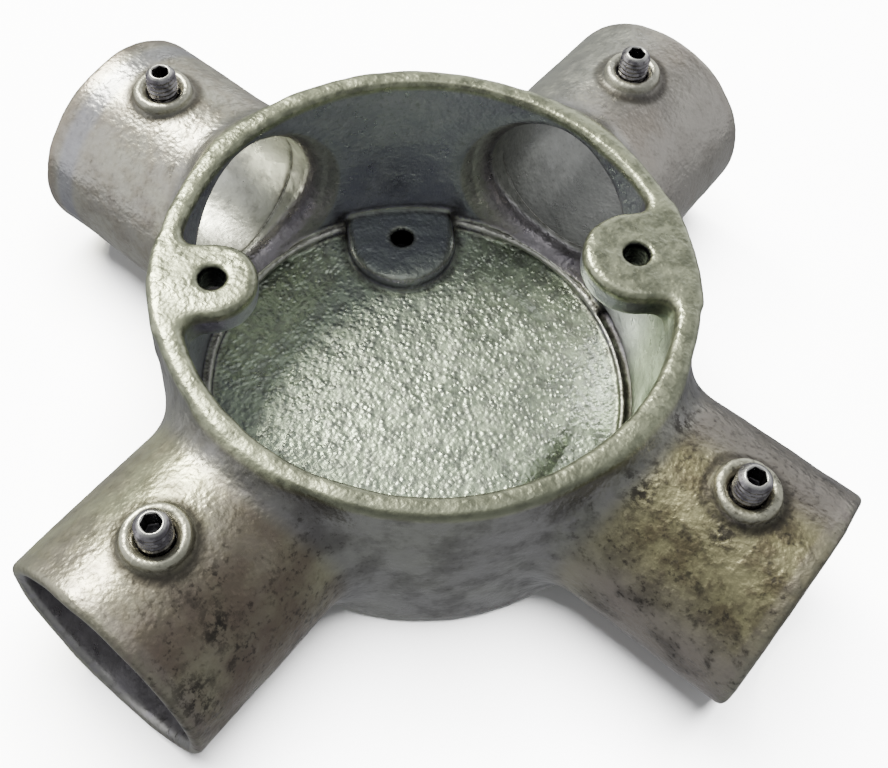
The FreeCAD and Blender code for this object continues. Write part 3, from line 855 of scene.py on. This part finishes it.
def galvanised_iron():
    finish = Finish("galvanised_iron")
    mask = cast_masks(finish)
    add_dirt_and_shade_masks(finish, mask)
    finish.feed(finish.shader.inputs["Base Color"], cast_colour(finish, mask))
    finish.shader.inputs["Metallic"].default_value = 0.9
    finish.feed(finish.shader.inputs["Roughness"], dullness(finish, mask))
    finish.feed(finish.shader.inputs["Normal"], cast_skin(finish, mask))
    return finish.material


def screw_steel():
    finish = Finish("screw_steel")
    shader = finish.shader
    tarnish = finish.span(finish.noise(1.2, 4), 0.42, 0.62)
    colour = finish.mix(tarnish, STEEL_LIGHT, STEEL_DARK)
    specks = finish.span(finish.noise(0.5, 3), 0.58, 0.68)
    colour = finish.tint(colour, specks, 0.6, GRIME_AND_SHADE)
    # The screw's chamfered top is painted bright as a highlight
    colour = finish.tint(colour, finish.zone("crown_highlight"), 0.8, STEEL_PAINTED_HIGHLIGHT)
    # The hex key recess is painted near black as shade
    colour = finish.tint(colour, finish.zone("recess_shade"), 0.7, PAINTED_SHADE_BLACK)
    finish.feed(shader.inputs["Base Color"], colour)
    shader.inputs["Metallic"].default_value = 1.0
    finish.feed(shader.inputs["Roughness"], finish.span(finish.noise(0.7), 0.3, 0.7, 0.22, 0.40))
    finish.feed(shader.inputs["Normal"], finish.bump(finish.noise(0.3), 0.03, 0.6))
    return finish.material


def pale_floor():
    finish = Finish("pale_floor")
    tone = finish.span(finish.noise(60.0, 3), 0.3, 0.7)
    finish.feed(finish.shader.inputs["Base Color"], finish.mix(tone, PAPER, PAPER_LIGHT))
    finish.shader.inputs["Roughness"].default_value = 0.9
    return finish.material


def wear(piece, material):
    piece.data.materials.clear()
    piece.data.materials.append(material)


# ---------------------------------------------------------------- camera, light, floor
# The camera in degrees and millimetres, with its lens shift in picture widths and its
# clip range in metres
CAMERA_AZIMUTH, CAMERA_ELEVATION, CAMERA_ROLL = 34.45, 55.42, 5.3
CAMERA_DISTANCE = 143.19
CAMERA_AIM = (3.585, -4.292, 30.9)
CAMERA_LENS, CAMERA_SHIFT = 50.07, (0.0169, -0.0901)
CAMERA_CLIP = (0.005, 10)
# Half the width of the square floor, in metres
FLOOR_HALF = 1.5
SKY_COLOUR, SKY_STRENGTH = (0.95, 0.97, 1.0, 1), 0.38
WHITE, WARM_WHITE = (1, 1, 1), (1.0, 0.985, 0.85)
# Each light's azimuth and elevation in degrees, distance and size in metres, power in
# watts, and colour
LIGHTS = {"window": (262, 51, 0.6, 0.24, 5.8, WARM_WHITE),
          "low_left": (310, 15, 0.6, 0.7, 1.0, WHITE),
          "low_back": (192, 15, 0.6, 0.6, 0.9, WHITE),
          "low_right": (144, 15, 0.6, 0.6, 0.4, WHITE),
          "overhead": (0, 88, 0.6, 0.4, 0.3, WHITE),
          "backdrop": (214, 80, 0.9, 0.8, 110.0, WHITE)}


def direction(azimuth, elevation):
    """Unit vector from the part; azimuth 0 is the front and 90 the right."""
    a, e = math.radians(azimuth), math.radians(elevation)
    return Vector((math.sin(a) * math.cos(e), -math.cos(a) * math.cos(e), math.sin(e)))


def make_camera():
    data = bpy.data.cameras.new("camera")
    data.lens = CAMERA_LENS
    data.shift_x, data.shift_y = CAMERA_SHIFT
    data.clip_start, data.clip_end = CAMERA_CLIP
    camera = bpy.data.objects.new("camera", data)
    bpy.context.scene.collection.objects.link(camera)
    back = direction(CAMERA_AZIMUTH, CAMERA_ELEVATION)
    level = direction(CAMERA_AZIMUTH + 90, 0)
    right = Matrix.Rotation(math.radians(CAMERA_ROLL), 3, back) @ level
    up = back.cross(right)
    turn = Matrix((right, up, back)).transposed()
    place = (Vector(CAMERA_AIM) + back * CAMERA_DISTANCE) * MM
    camera.matrix_world = Matrix.Translation(place) @ turn.to_4x4()
    bpy.context.scene.camera = camera


def soft_light(name, azimuth, elevation, distance, size, power, colour):
    """A round light that faces the part's base."""
    data = bpy.data.lights.new(name, "AREA")
    data.shape = "DISK"
    data.size, data.energy, data.color = size, power, colour
    lamp = bpy.data.objects.new(name, data)
    bpy.context.scene.collection.objects.link(lamp)
    toward = direction(azimuth, elevation)
    lamp.location = toward * distance
    lamp.rotation_euler = toward.to_track_quat("Z", "Y").to_euler()
    return lamp


def make_floor():
    mesh = bpy.data.meshes.new("floor")
    corners = [(x * FLOOR_HALF, y * FLOOR_HALF, 0) for x, y in ((-1, -1), (1, -1), (1, 1), (-1, 1))]
    mesh.from_pydata(corners, [], [(0, 1, 2, 3)])
    floor = bpy.data.objects.new("floor", mesh)
    bpy.context.scene.collection.objects.link(floor)
    floor.visible_diffuse = floor.visible_glossy = False
    wear(floor, pale_floor())
    return floor


def make_world():
    world = bpy.data.worlds.new("studio")
    bpy.context.scene.world = world
    world.use_nodes = True
    background = world.node_tree.nodes["Background"]
    background.inputs["Color"].default_value = SKY_COLOUR
    background.inputs["Strength"].default_value = SKY_STRENGTH


def make_lights(floor):
    """All the lights; the backdrop one falls on the floor alone."""
    lamps = {name: soft_light(name, *settings) for name, settings in LIGHTS.items()}
    only_floor = bpy.data.collections.new("only_floor")
    only_floor.objects.link(floor)
    lamps["backdrop"].light_linking.receiver_collection = only_floor


casting = make_casting()
wear(casting, galvanised_iron())
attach(casting, "box")
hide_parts("body_casting")

make_screws(screw_steel())

make_camera()
make_world()
make_lights(make_floor())
